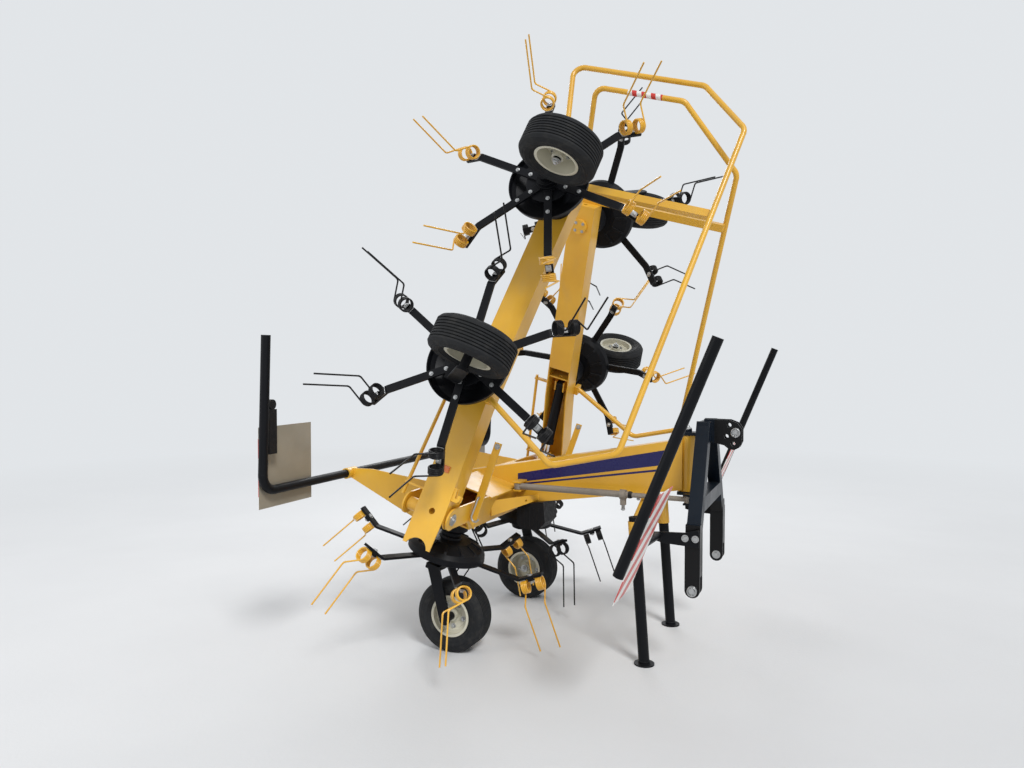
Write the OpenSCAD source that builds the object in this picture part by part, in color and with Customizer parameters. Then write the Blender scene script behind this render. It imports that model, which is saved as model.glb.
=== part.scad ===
/* [Layout] */
// Distance between neighbouring rotor axes
rotor_pitch = 1100; // [1000:1:1200]
// Lean of the rotor plane towards the tractor when parked
lean = 16.3; // [12:0.1:20]
// Angle that a wing is folded up from its working place
fold_angle = 112; // [95:1:116]
// Fold axis behind the middle of the parked machine
fold_back = 350; // [300:1:400]
// Height of the fold axis above the ground
fold_z = 860; // [820:1:900]
// Sideways distance of the fold axis from the middle
fold_y = 900; // [860:1:930]

/* [Wheels] */
// Outer radius of a tyre
tyre_r = 205; // [190:1:215]
// Width of a tyre
tyre_w = 165; // [140:1:180]
// Bead seat radius of a rim
rim_r = 108; // [102:1:110]
// Wheel axle ahead of its rotor axis
wheel_lead = 150; // [120:1:170]
// Radius of a wheel axle pin
axle_r = 15; // [12:0.5:18]

/* [Rotors] */
// Radius of the rotor dish
dish_r = 225; // [200:1:240]
// Sheet thickness of the dish
dish_t = 5; // [4:0.5:8]
// Rotor arms below the fold axis
arm_drop = 322; // [315:1:330]
// Width of an arm
arm_w = 42; // [34:1:50]
// Thickness of an arm
arm_t = 14; // [10:1:18]
// Radius at which an arm is bent up
arm_bend_r = 450; // [420:1:470]
// Length of the bent up arm end
arm_end = 142; // [136:1:160]
// Upward bend of the arm end
arm_rise = 34; // [28:1:40]
// Radius of the fixed tube that a rotor turns on
hub_tube_r = 38; // [34:1:42]

/* [Tines] */
// Wire diameter of a tine
wire_d = 9.5; // [8:0.5:11]
// Outer radius of a tine coil
coil_r = 40; // [36:1:44]
// Turns in one coil
coil_turns = 4; // [3:1:4]
// First leg of the tine, from the coil to its bend
leg_1 = 110; // [90:1:130]
// Second leg of the tine, from its bend to the tip
leg_2 = 262; // [220:1:280]
// Sweep of the first leg away from straight down
leg_sweep = 55; // [45:1:60]

/* [Frame] */
// Width of the main beam
beam_w = 120; // [100:1:140]
// Height of the main beam's front end
beam_h = 290; // [260:1:300]
// Half the width between the cross frame's plates
cross_half = 130; // [125:1:140]
// Plate thickness of frame and wings
plate_t = 10; // [8:1:12]
// Kingpin ahead of the fold axis
king_ahead = 1180; // [1150:1:1200]
// Feet of the parking stands ahead of the fold axis
stand_ahead = 1017; // [990:1:1030]
// Radius of the kingpin
king_r = 25; // [20:1:28]
// Radius of a fold pin
fold_pin_r = 20; // [16:1:24]

/* [Wings] */
// Width of a wing beam at its foot
wing_w0 = 162; // [150:1:166]
// Width of a wing beam at its tip
wing_w1 = 160; // [150:1:170]
// Half the height of a wing beam at the fold
wing_half = 72; // [66:1:76]
// Length of a wing beam past the last rotor axis
wing_past = 130; // [110:1:150]
// Tube radius of the guard loops
guard_r = 16; // [13:1:18]

/* [Headstock] */
// Lower link pins, sideways from the middle
link_y = 410; // [400:1:430]
// Height of the lower link pins
link_z = 463; // [440:1:480]
// Radius of a lower link pin
link_r = 14; // [13:0.5:15]
// Radius of the top link pin
top_pin_r = 12.7; // [12:0.1:13]
// Side of the square posts
post_w = 72; // [64:1:78]

/* [Transport guards] */
// Sideways place of the upright guard tubes
width_y = 1350; // [1300:1:1400]
// Radius of the guard tubes
bar_r = 24; // [20:1:26]

/* [Hidden] */
$fn = 48;
yellow = [0.96, 0.68, 0.05];
black = [0.06, 0.06, 0.07];
navy = [0.06, 0.08, 0.13];
cream = [0.88, 0.85, 0.74];
zinc = [0.72, 0.74, 0.76];
fit = 0.05;
seat = 0.3;
elbow_over = 0.4;
elbow_lap = 3;

// Side 1 is the photographed right hand side, side 2 the left one
function side_sign(s) = s == 1 ? -1 : 1;

// Rotors by number: side, place along the wing (0 is on the frame), phase and hand
ROTORS = [
    [1, 0, 7.5, 1], [2, 0, 37.5, 1],
    [1, 1, 22.5, -1], [2, 1, -7.5, -1],
    [1, 2, 7.5, 1], [2, 2, 37.5, 1]
];
function hub_y(k) = (k + 0.5) * rotor_pitch;
function hub_along(k) = hub_y(k) - fold_y;

wheel_drop = (fold_z - tyre_r - wheel_lead * sin(lean)) / cos(lean);
fold_x = -fold_back;
king_x = fold_x + king_ahead;

// Frames of reference
module on_side(s)
    mirror([0, s == 1 ? 1 : 0, 0])
        children();

module on_deck()
    translate([fold_x, 0, fold_z])
        rotate([0, lean, 0])
            children();

module on_wing(s)
    on_deck()
        on_side(s)
            translate([0, fold_y, 0])
                rotate([fold_angle, 0, 0])
                    children();

module at_hub(n) {
    s = ROTORS[n - 1][0];
    k = ROTORS[n - 1][1];
    if (k == 0)
        on_deck()
            on_side(s)
                translate([0, hub_y(0), 0])
                    children();
    else
        on_wing(s)
            translate([0, hub_along(k), 0])
                children();
}

// Round bar from one point to another
module rod(a, b, r) {
    d = b - a;
    translate(a)
        rotate([0, acos(d[2] / norm(d)), atan2(d[1], d[0])])
            cylinder(r = r, h = norm(d));
}

// Quarter or part turn of a bent tube, at the corner p1 between p0 and p2
module elbow(p0, p1, p2, bend, r) {
    d1 = (p1 - p0) / norm(p1 - p0);
    d2 = (p2 - p1) / norm(p2 - p1);
    turn = acos(d1 * d2);
    n = cross(d1, d2) / norm(cross(d1, d2));
    inward = cross(n, d1);
    c = p1 - d1 * bend * tan(turn / 2) + inward * bend;
    multmatrix([
        [-inward[0], d1[0], n[0], c[0]],
        [-inward[1], d1[1], n[1], c[1]],
        [-inward[2], d1[2], n[2], c[2]],
        [0, 0, 0, 1]
    ])
        rotate_extrude(angle = turn)
            translate([bend, 0])
                circle(r = r + elbow_over);
}

// Tube bent through a list of corner points
module bent_tube(pts, bend, r) {
    last = len(pts) - 1;
    dirs = [for (i = [0:last - 1]) (pts[i + 1] - pts[i]) / norm(pts[i + 1] - pts[i])];
    cuts = [for (i = [0:last])
        i == 0 || i == last ? 0 : bend * tan(acos(dirs[i - 1] * dirs[i]) / 2)];
    for (i = [0:last - 1])
        rod(pts[i] + dirs[i] * (cuts[i] - (i > 0 ? elbow_lap : 0)),
            pts[i + 1] - dirs[i] * (cuts[i + 1] - (i + 1 < last ? elbow_lap : 0)), r);
    for (i = [1:last - 1])
        elbow(pts[i - 1], pts[i], pts[i + 1], bend, r);
}

// Flat plate standing across X, its outline given in Y and Z
module plate_x(x, t)
    translate([x, 0, 0])
        rotate([90, 0, 90])
            linear_extrude(t)
                children();

// Flat plate standing across Y, its outline given in X and Z
module plate_y(y, t)
    translate([0, y + t, 0])
        rotate([90, 0, 0])
            linear_extrude(t)
                children();

// Main frame: beam, cross frame with fold lugs, kingpin housing and stand sleeves
beam_tail = [-250, 85];
beam_nose = [king_ahead - 20, 345];
beam_belly = [60, -105];
cross_end = 60;
cross_low = -55;
floor_z = -110;
floor_y = hub_y(0) + 95;
lid_y = 480;
lip = 16;
ram_lug_y = fold_y - 180;
ram_lug_z = 120;
ram_lug_r = 30;
ram_eye_half = 22;
ram_lug_gap = 4;
ram_pin_r = 16;
tie_z = -50;
king_wall = 20;
king_rise = 365;
king_top = fold_z + king_rise;
king_bottom = fold_z + 45;
stand_x = fold_x + stand_ahead;
stand_y = 347;
stand_lean = 4.2;
stand_r = 30;
stand_len = 790;
sleeve_wall = 6;
sleeve_low = 640;
sleeve_len = 140;
stand_arm_r = 27;
stand_arm_x = stand_x - (sleeve_low + sleeve_len / 2) * tan(stand_lean);
strut_pin_r = 10;
strut_eye_half = 18;
strut_lug_t = 10;
strut_rear = [fold_x + 185, 140, fold_z + 30];
strut_front = [king_x + 43, 200, fold_z + 30];
gusset_rear = [128, 400];
gusset_front = [290, 58];

module beam_outline()
    polygon([
        beam_tail, beam_nose, beam_nose - [0, beam_h],
        beam_belly, [-130, -40], [-250, 20]
    ]);

module cross_outline() {
    for (m = [-1, 1])
        translate([m * fold_y, 0])
            circle(r = cross_end);
    polygon([
        [-fold_y, cross_end], [fold_y, cross_end], [fold_y, cross_low], [floor_y + 55, cross_low],
        [floor_y, floor_z], [-floor_y, floor_z], [-floor_y - 55, cross_low], [-fold_y, cross_low]
    ]);
}

// Upright lug for the eye of a wing ram
module ram_lug_outline()
    union() {
        translate([ram_lug_y, ram_lug_z])
            circle(r = ram_lug_r);
        polygon([
            [ram_lug_y - ram_lug_r, ram_lug_z], [ram_lug_y + ram_lug_r, ram_lug_z],
            [ram_lug_y + 20, tie_z], [ram_lug_y - 90, tie_z]
        ]);
    }

// Pair of flat lugs that hold an upright strut pin
module strut_lugs(reach)
    for (z = [strut_eye_half + 2, -strut_eye_half - 2 - strut_lug_t])
        translate([-25, -reach, z])
            cube([50, reach + 25, strut_lug_t]);

// Upright gusset from the cross frame's front plate to the side of the beam
module beam_gusset() {
    d = gusset_front - gusset_rear;
    translate([gusset_rear[0], gusset_rear[1], 0])
        rotate([90, 0, atan2(d[1], d[0])])
            linear_extrude(plate_t)
                difference() {
                    polygon([[0, -112], [norm(d), -60], [norm(d), -28], [0, -20]]);
                    translate([norm(d) * 0.72, -54])
                        circle(r = 8);
                }
}

module cross_frame() {
    for (x = [cross_half, -cross_half - plate_t])
        plate_x(x, plate_t)
            cross_outline();
    translate([-cross_half, -floor_y, floor_z])
        cube([2 * cross_half, 2 * floor_y, plate_t]);
    translate([-cross_half, -lid_y, cross_end - plate_t])
        cube([2 * cross_half, 2 * lid_y, plate_t]);
    for (s = [1, 2])
        on_side(s) {
            translate([-cross_half - plate_t, fold_y, 0])
                rotate([0, 90, 0])
                    cylinder(r = fold_pin_r, h = 2 * (cross_half + plate_t));
            for (x = [ram_eye_half + ram_lug_gap, -ram_eye_half - ram_lug_gap - plate_t])
                plate_x(x, plate_t)
                    ram_lug_outline();
            translate([-cross_half, ram_lug_y - 100, tie_z])
                cube([2 * cross_half, 130, plate_t]);
            translate([cross_half + plate_t - 1, 190, cross_end - plate_t])
                cube([lip + 1, lid_y - 190, plate_t]);
        }
}

module stand_carrier() {
    bent_tube([
        [stand_arm_x, stand_y - 12, sleeve_low + 25], [stand_arm_x, stand_y - 50, sleeve_low + sleeve_len],
        [stand_arm_x, 0, fold_z + 42]
    ], 60, stand_arm_r);
    on_stand()
        translate([0, 0, sleeve_low])
            cylinder(r = stand_r + sleeve_wall, h = sleeve_len);
}

module main_frame()
    color(yellow)
        difference() {
            union() {
                translate([fold_x, 0, fold_z])
                    plate_y(-beam_w / 2, beam_w)
                        beam_outline();
                translate([king_x, 0, king_bottom])
                    cylinder(r = king_r + king_wall, h = king_top - king_bottom);
                on_deck()
                    cross_frame();
                for (s = [1, 2])
                    on_side(s) {
                        stand_carrier();
                        translate([fold_x, 0, fold_z])
                            beam_gusset();
                        translate(strut_rear) {
                            strut_lugs(strut_rear[1] - beam_w / 2 + 1);
                            translate([0, 0, -strut_eye_half - 2])
                                cylinder(r = strut_pin_r, h = 2 * strut_eye_half + 4);
                        }
                    }
            }
            for (s = [1, 2])
                on_side(s)
                    on_stand()
                        translate([0, 0, sleeve_low - 60])
                            cylinder(r = stand_r + fit, h = sleeve_len + 180);
            translate([king_x, 0, king_bottom - 60])
                cylinder(r = king_r + fit, h = king_top - king_bottom + 120);
        }

// Blue stripes along both sides of the main beam
module beam_stripes()
    color([0.12, 0.1, 0.42])
        for (m = [0, 1])
            mirror([0, m, 0])
                translate([fold_x, 0, fold_z])
                    plate_y(beam_w / 2, 1) {
                        difference() {
                            polygon([[150, 95], [beam_nose[0] - 70, 285], [beam_nose[0] - 70, 200], [150, 40]]);
                            translate([159, 49])
                                square([52, 12]);
                        }
                        polygon([[150, 32], [beam_nose[0] - 70, 178], [beam_nose[0] - 70, 166], [150, 22]]);
                    }

// Two arms behind the cross frame that carry the light bar
bar_back = 720;
bar_up = 120;
bar_upright = 800;
rear_arm_y = 590;
clamp_wall = 8;

module rear_arm_outline()
    polygon([
        [-cross_half + 12, 92], [-560, 150], [-bar_back + 10, bar_up + 28], [-bar_back + 10, bar_up - 28],
        [-270, -119], [-cross_half - 34, -60]
    ]);

module rear_arms()
    color(yellow)
        difference() {
            for (s = [1, 2])
                on_side(s) {
                    translate([fold_x, 0, fold_z])
                        plate_y(rear_arm_y - plate_t / 2, plate_t)
                            rear_arm_outline();
                    translate([fold_x - bar_back, rear_arm_y - 45, fold_z + bar_up])
                        rotate([-90, 0, 0])
                            cylinder(r = bar_r + clamp_wall, h = 90);
                }
            translate([fold_x - bar_back, -700, fold_z + bar_up])
                rotate([-90, 0, 0])
                    cylinder(r = bar_r + seat, h = 1400);
            on_deck()
                translate([-cross_half - plate_t - seat, -700, -400])
                    cube([600, 1400, 800]);
        }

module light_bar()
    color(black)
        bent_tube([
            [fold_x - bar_back + 30, -width_y, fold_z + bar_up + bar_upright],
            [fold_x - bar_back, -width_y, fold_z + bar_up],
            [fold_x - bar_back, width_y, fold_z + bar_up],
            [fold_x - bar_back + 30, width_y, fold_z + bar_up + bar_upright]
        ], 90, bar_r);

rear_board = 423;
board_t = 3;

module rear_boards()
    color([0.6, 0.6, 0.6])
        for (s = [1, 2])
            on_side(s)
                translate([fold_x - bar_back - bar_r - elbow_over - seat - board_t, width_y - rear_board, fold_z + 25])
                    cube([board_t, rear_board, rear_board]);

lamp_z = fold_z + bar_up + 190;
lamp_seat = 1;

module rear_lamps()
    color(black)
        for (s = [1, 2])
            on_side(s)
                translate([fold_x - bar_back - 20, width_y - bar_r - lamp_seat - 60, lamp_z]) {
                    cube([44, 60, 230]);
                    translate([0, 30, 255])
                        rotate([0, 90, 0])
                            cylinder(r = 26, h = 44);
                }

// Black drive housing under the main beam
function belly_z(x) = beam_belly[1] - seat
    + (x - beam_belly[0]) * (beam_nose[1] - beam_h - beam_belly[1]) / (beam_nose[0] - beam_belly[0]);

module drive_cover()
    color(black)
        translate([fold_x, 0, fold_z])
            plate_y(-105, 210)
                polygon([
                    [165, belly_z(165)], [335, belly_z(335)], [345, -190], [300, -240], [190, -236], [160, -205]
                ]);

// Hand levers of the transport lock, in front of the cross frame
lever_y = 680;

module lock_levers()
    color(yellow)
        for (s = [1, 2])
            on_side(s)
                on_deck()
                    difference() {
                        plate_y(lever_y, plate_t)
                            polygon([
                                [cross_half + plate_t + seat, -45], [cross_half + plate_t + 42, -80],
                                [cross_half + plate_t + 72, 420], [cross_half + plate_t + 32, 420]
                            ]);
                        translate([cross_half + plate_t + 52, lever_y - 1, 400])
                            rotate([-90, 0, 0])
                                cylinder(r = 9, h = plate_t + 2);
                    }

// Parking stands
module on_stand()
    translate([stand_x, stand_y, 0])
        rotate([0, -stand_lean, 0])
            children();

module stand(s)
    color(black)
        on_side(s) {
            on_stand()
                translate([0, 0, 14])
                    cylinder(r = stand_r, h = stand_len);
            translate([stand_x, stand_y, 0])
                cylinder(r = 55, h = 8);
            translate([stand_x, stand_y, 8])
                cylinder(r = stand_r + 2, h = 14);
        }

// Fixed gear housing over a rotor, with its wheel leg
hub_top = -212;
hub_low = -344;
tube_low = -400;
leg_y = tyre_w / 2 + 30;
leg_t = 16;
rim_half = 45;

module carrier(top, out) {
    translate([0, 0, -165])
        cylinder(r = 88, h = top + 165);
    translate([0, 0, -185])
        cylinder(r1 = 66, r2 = 88, h = 20);
    translate([0, 0, hub_top + 6])
        cylinder(r = 58, h = 22);
    translate([0, 0, tube_low])
        cylinder(r = hub_tube_r, h = 230);
    translate([0, 0, hub_low - 22])
        cylinder(r = 54, h = 18);
    mirror([0, out > 0 ? 0 : 1, 0]) {
        translate([-45, 0, tube_low])
            cube([80, leg_y + leg_t, 30]);
        plate_y(leg_y, leg_t) {
            polygon([
                [-45, tube_low + 30], [35, tube_low + 30],
                [wheel_lead + 30, -wheel_drop + 10], [wheel_lead - 30, -wheel_drop - 10]
            ]);
            translate([wheel_lead, -wheel_drop])
                circle(r = 32);
        }
        translate([wheel_lead, 0, -wheel_drop])
            rotate([-90, 0, 0]) {
                translate([0, 0, -rim_half - 8])
                    cylinder(r = axle_r, h = leg_y + rim_half + 10);
                translate([0, 0, rim_half + 1])
                    cylinder(r = axle_r + 8, h = leg_y - rim_half - 1);
                translate([0, 0, -rim_half - 14])
                    cylinder(r = axle_r + 6, h = 12);
            }
    }
}

module centre_carriers()
    color(black)
        for (s = [1, 2])
            on_deck()
                on_side(s)
                    translate([0, hub_y(0), 0])
                        carrier(floor_z, 1);

// Wing beam: a tapering channel, closed by a cover past the inner rotor
wing_wall = 8;
tail = 195;
cover_from = 850;
end_plate_y = 775;
wing_end = hub_along(2) + wing_past;
knuckle_r = 36;
foot_mid = 40;
foot_taper = 625;
ram_pin_y = 700;
tip_rise = 48;

module wing_plan(inset)
    polygon([
        [foot_mid - wing_w0 / 2 + inset, -tail], [foot_mid + wing_w0 / 2 - inset, -tail],
        [foot_mid + wing_w0 / 2 - inset, 0], [wing_w1 / 2 - inset, foot_taper],
        [wing_w1 / 2 - inset, wing_end], [-wing_w1 / 2 + inset, wing_end],
        [-wing_w1 / 2 + inset, foot_taper]
    ]);

module wing_side()
    union() {
        circle(r = cross_end);
        polygon([
            [0, -cross_end], [0, cross_end], [60, wing_half], [cover_from, wing_half],
            [wing_end, tip_rise], [wing_end, -wing_half], [-20, -wing_half], [-40, -wing_half + wing_wall],
            [-20, -cross_end]
        ]);
    }

module wing_walls()
    intersection() {
        translate([0, 0, -wing_half])
            linear_extrude(2 * wing_half)
                difference() {
                    wing_plan(0);
                    wing_plan(wing_wall);
                }
        plate_x(-wing_w0, 2 * wing_w0)
            wing_side();
    }

module wing_beam(s)
    color(yellow)
        on_wing(s)
            difference() {
                union() {
                    wing_walls();
                    translate([0, 0, -wing_half])
                        linear_extrude(wing_wall)
                            difference() {
                                wing_plan(0);
                                translate([foot_mid, -tail - 20])
                                    circle(r = 64);
                                translate([foot_mid + 4, 0])
                                    circle(r = 17);
                            }
                    intersection() {
                        linear_extrude(100)
                            wing_plan(0);
                        plate_x(-wing_w0, 2 * wing_w0)
                            polygon([
                                [cover_from, wing_half - wing_wall], [cover_from, wing_half],
                                [wing_end, tip_rise], [wing_end, tip_rise - wing_wall]
                            ]);
                    }
                    for (y = [end_plate_y, wing_end - wing_wall])
                        intersection() {
                            translate([-wing_w0 / 2, y, -wing_half])
                                cube([wing_w0, wing_wall, wing_half + (y > cover_from ? tip_rise : 60)]);
                            linear_extrude(400, center = true)
                                wing_plan(0);
                        }
                    rotate([0, 90, 0])
                        cylinder(r = knuckle_r, h = 2 * cross_half - 10, center = true);
                    for (z = [-66, -40])
                        translate([0, 0, z])
                            linear_extrude(8)
                                polygon([
                                    [106, 84], [150, 84], [160, 96], [160, 124], [142, 124],
                                    [142, 104], [130, 104], [124, 156], [104, 156]
                                ]);
                    for (x = [ram_eye_half + ram_lug_gap, -ram_eye_half - ram_lug_gap - plate_t])
                        translate([x, ram_pin_y - 35, -wing_half])
                            cube([plate_t, 70, wing_half + 30]);
                    translate([0, ram_pin_y, 0])
                        rotate([0, 90, 0])
                            cylinder(r = ram_pin_r, h = 2 * (ram_eye_half + ram_lug_gap), center = true);
                    translate([0, hub_along(2), tip_rise - 4])
                        cylinder(r = 46, h = 22);
                    for (y = [88, 690])
                        translate([-200, y, -12])
                            cube([wing_w1 / 2 + 50, 12, 24]);
                    rod([-188, 30, 0], [-188, 720, 0], 10);
                }
                rotate([0, 90, 0])
                    cylinder(r = fold_pin_r + fit, h = 2 * cross_half + 20, center = true);
                translate([0, end_plate_y - 1, 30])
                    rotate([-90, 0, 0])
                        cylinder(r = 12, h = wing_wall + 2);
                translate([0, wing_end - wing_wall - 1, 0])
                    rotate([-90, 0, 0])
                        cylinder(r = 12, h = wing_wall + 2);
            }

module wing_carriers(s)
    color(black)
        on_wing(s) {
            translate([0, hub_along(1), 0])
                carrier(-wing_half, -1);
            translate([0, hub_along(2), 0])
                carrier(-wing_half, 1);
        }

// Tube loop in front of a wing, with its cross arm at the beam's tip. Folded, the far loop nests in
// the near one. By side: rear start, rear corner, front corner, top and knee along the wing
GUARDS = [[-30, -270, 545, 2775, 2540], [-75, -75, 470, 2650, 2310]];
arm_sq = 44;
arm_z = -60;
guard_z = arm_z - arm_sq / 2 - guard_r + 1;
guard_front = 850;

module wing_guard(s)
    color(yellow)
        on_wing(s) {
            g = GUARDS[s - 1];
            translate([0, 0, guard_z])
                bent_tube([
                    [g[0], wing_end + seat, 0], [g[1], g[3], 0], [g[2], g[3], 0], [guard_front, g[4], 0],
                    [guard_front, 600, 0], [550, 430, 0], [wing_w1 / 2 + 12, 660, 0]
                ], 60, guard_r);
            translate([-75, wing_end + seat, arm_z - arm_sq / 2])
                cube([guard_front + 75, arm_sq, arm_sq]);
            translate([wing_w1 / 2 + seat, 630, guard_z - guard_r - 3])
                cube([27, 58, -wing_half - guard_z + guard_r + 20]);
        }

// Hydraulic ram of a wing: barrel on the wing, eye at the frame's lug
ram_dy = ram_lug_y - fold_y;
ram_eye = [
    ram_dy * cos(fold_angle) + ram_lug_z * sin(fold_angle),
    -ram_dy * sin(fold_angle) + ram_lug_z * cos(fold_angle)
];
ram_span = norm(ram_eye - [ram_pin_y, 0]);
ram_turn = atan2(ram_eye[1], ram_eye[0] - ram_pin_y);
barrel_r = 34;
barrel_len = 440;
ram_rod_r = 20;

module on_ram(s)
    on_wing(s)
        translate([0, ram_pin_y, 0])
            rotate([ram_turn, 0, 0])
                children();

module ram_barrel(s)
    color(black)
        on_ram(s)
            difference() {
                union() {
                    rotate([0, 90, 0])
                        cylinder(r = 32, h = 2 * ram_eye_half, center = true);
                    rotate([-90, 0, 0])
                        cylinder(r = barrel_r, h = barrel_len);
                    translate([0, barrel_len - 30, 0])
                        rotate([-90, 0, 0])
                            cylinder(r = barrel_r + 4, h = 30);
                }
                for (x = [ram_eye_half, -ram_eye_half - 60])
                    translate([x, -60, -60])
                        cube([60, 105, 120]);
                rotate([0, 90, 0])
                    cylinder(r = ram_pin_r + fit, h = 200, center = true);
                translate([0, 45, 0])
                    rotate([-90, 0, 0])
                        cylinder(r = ram_rod_r + fit, h = barrel_len);
            }

module ram_rod(s)
    color(zinc)
        on_ram(s)
            translate([0, ram_span, 0]) {
                translate([0, -ram_span + 60, 0])
                    rotate([-90, 0, 0])
                        cylinder(r = ram_rod_r, h = ram_span - 80);
                rotate([0, 90, 0])
                    cylinder(r = 28, h = 2 * ram_eye_half, center = true);
            }

// Swivel damping strut: a tube on the frame, its rod on the headstock
strut_vec = strut_front - strut_rear;
strut_span = norm(strut_vec);
strut_tube_r = 19;
strut_rod_r = 14;
strut_tube_len = 700;

module on_strut(s)
    on_side(s)
        translate(strut_rear)
            rotate([0, 0, atan2(strut_vec[1], strut_vec[0])])
                children();

module strut_tube(s)
    color(zinc)
        on_strut(s)
            difference() {
                union() {
                    cylinder(r = 24, h = 2 * strut_eye_half, center = true);
                    rotate([0, 90, 0])
                        cylinder(r = strut_tube_r, h = strut_tube_len);
                    translate([strut_tube_len - 50, 0, 0])
                        rotate([0, 90, 0])
                            cylinder(r = strut_tube_r + 9, h = 34);
                    translate([strut_tube_len - 47, -14, -60])
                        cube([28, 28, 50]);
                }
                cylinder(r = strut_pin_r + fit, h = 100, center = true);
                translate([34, 0, 0])
                    rotate([0, 90, 0])
                        cylinder(r = strut_rod_r + fit, h = strut_tube_len);
            }

module strut_rod(s)
    color(zinc)
        on_strut(s)
            translate([strut_span, 0, 0]) {
                translate([-strut_span + 420, 0, 0])
                    rotate([0, 90, 0])
                        cylinder(r = strut_rod_r, h = strut_span - 436);
                cylinder(r = 22, h = 2 * strut_eye_half, center = true);
            }

// Headstock: inclined posts on link shoes, swivelling about the kingpin
post_x = king_x + 110;
post_low = 750;
post_top = 1300;
post_top_y = 105;
shoe_w = 76;
shoe_low = 530;
shoe_high = 800;
ear_gap = 54;
ear_t = 14;
ear_w = 78;
low_tube_z = 850;
top_pin = [king_x + 270, fold_z + 395];
spare_holes = [[-35, 37], [-50, -26], [-14, -66]];
top_gap = 54;
top_plate_t = 12;
fork_t = 18;

module square_post(a, b, w) {
    d = b - a;
    translate(a)
        rotate([-atan2(d[1], d[2]), 0, 0])
            translate([-w / 2, -w / 2, 0])
                cube([w, w, norm(d)]);
}

module link_shoe() {
    translate([post_x - shoe_w / 2, link_y - ear_gap / 2 - 1, shoe_low])
        cube([shoe_w, ear_gap + 2, shoe_high - shoe_low]);
    for (y = [link_y - ear_gap / 2 - ear_t, link_y + ear_gap / 2])
        plate_y(y, ear_t) {
            translate([post_x, link_z])
                circle(r = ear_w / 2);
            translate([post_x - ear_w / 2, link_z])
                square([ear_w, shoe_high - 40 - link_z]);
        }
}

module top_plate()
    plate_y(top_gap / 2, top_plate_t)
        translate(top_pin)
            difference() {
                polygon([
                    [-172, 68], [-32, 66], [10, 50], [34, 18], [34, -55], [20, -86],
                    [-6, -100], [-34, -98], [-62, -76], [-172, -52]
                ]);
                for (h = concat([[0, 0]], spare_holes))
                    translate(h)
                        circle(r = top_pin_r + fit);
            }

module headstock()
    color(navy)
        difference() {
            union() {
                for (s = [1, 2])
                    on_side(s) {
                        square_post([post_x, link_y - 15, post_low], [post_x, post_top_y, post_top], post_w);
                        link_shoe();
                        translate(strut_front)
                            for (z = [strut_eye_half + 2, -strut_eye_half - 2 - strut_lug_t])
                                translate([-26, -26, z])
                                    cube([64, 52, strut_lug_t]);
                        top_plate();
                    }
                translate([post_x - 34, -320, low_tube_z])
                    cube([71, 640, 76]);
                translate([post_x - 32, -150, king_top + 8])
                    cube([64, 300, 78]);
                translate([king_x - 50, -50, king_top + 1])
                    cube([150, 100, fork_t]);
                translate([king_x - 50, -50, king_bottom - 1 - fork_t])
                    cube([150, 100, fork_t]);
                translate([king_x, 0, king_bottom - fork_t - 16])
                    cylinder(r = king_r, h = king_top - king_bottom + 2 * fork_t + 32);
            }
            for (s = [1, 2])
                on_side(s)
                    translate([post_x, link_y, link_z])
                        rotate([-90, 0, 0])
                            cylinder(r = link_r + fit, h = 200, center = true);
        }

pin_over = 16;

module link_pins()
    color(zinc) {
        for (s = [1, 2])
            on_side(s)
                translate([post_x, link_y, link_z])
                    rotate([-90, 0, 0])
                        cylinder(r = link_r, h = ear_gap + 2 * (ear_t + pin_over), center = true);
        translate([top_pin[0], 0, top_pin[1]])
            rotate([-90, 0, 0])
                cylinder(r = top_pin_r, h = top_gap + 2 * (top_plate_t + pin_over), center = true);
    }

// Front width guards on arms behind the link shoes
guard_tilt = 22;
front_low = [king_x - 35, 750];
front_len = 1066;
front_arm_t = 12;
front_arm_y = link_y + ear_gap / 2 + ear_t + seat;
cross_bar_r = 20;
bar_hold = 110;
arm_root = [king_x - 70, front_arm_y, 735];
arm_tip = [front_low[0] + bar_hold * sin(guard_tilt), width_y, front_low[1] + bar_hold * cos(guard_tilt)];
front_board_l = 515;
front_board_w = 282;
board_hold_y = 1185;
board_stand = 5;
board_up = 37;
board_at = arm_root + (arm_tip - arm_root) * (board_hold_y - arm_root[1]) / (arm_tip[1] - arm_root[1]);

module front_bars()
    color(black)
        for (s = [1, 2])
            on_side(s) {
                plate_y(front_arm_y, front_arm_t)
                    polygon([
                        [arm_root[0] - 26, 715], [arm_root[0] + 30, 700], [post_x + 35, 690], [post_x + 35, 782],
                        [post_x - 40, 762], [arm_root[0] + 40, 758], [arm_root[0] - 26, 754]
                    ]);
                rod(arm_root, arm_tip, cross_bar_r);
                translate(board_at)
                    rotate([0, guard_tilt, 0])
                        translate([0, -35, -10])
                            cube([cross_bar_r + board_stand, 70, 60]);
                rod([front_low[0], width_y, front_low[1]],
                    [front_low[0] + front_len * sin(guard_tilt), width_y, front_low[1] + front_len * cos(guard_tilt)],
                    bar_r);
            }

module front_boards()
    color([0.8, 0.78, 0.76])
        for (s = [1, 2])
            on_side(s)
                translate([board_at[0], width_y - bar_r - 4 - front_board_w, board_at[2]])
                    rotate([0, guard_tilt, 0])
                        translate([cross_bar_r + board_stand + seat, 0, board_up - front_board_l / 2])
                            cube([board_t, front_board_w, front_board_l]);

// Rotor: hub, ribbed dish and six arms with raised ends
arm_step = 60;
arm_top = -arm_drop + arm_t / 2;
arm_bend = 26;
hub_r = 62;

module on_arm(n, i)
    at_hub(n)
        rotate([0, 0, 180 - ROTORS[n - 1][2] - arm_step * i])
            children();

module on_arm_end()
    translate([arm_bend_r, 0, -arm_drop])
        rotate([0, -arm_rise, 0])
            children();

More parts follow.
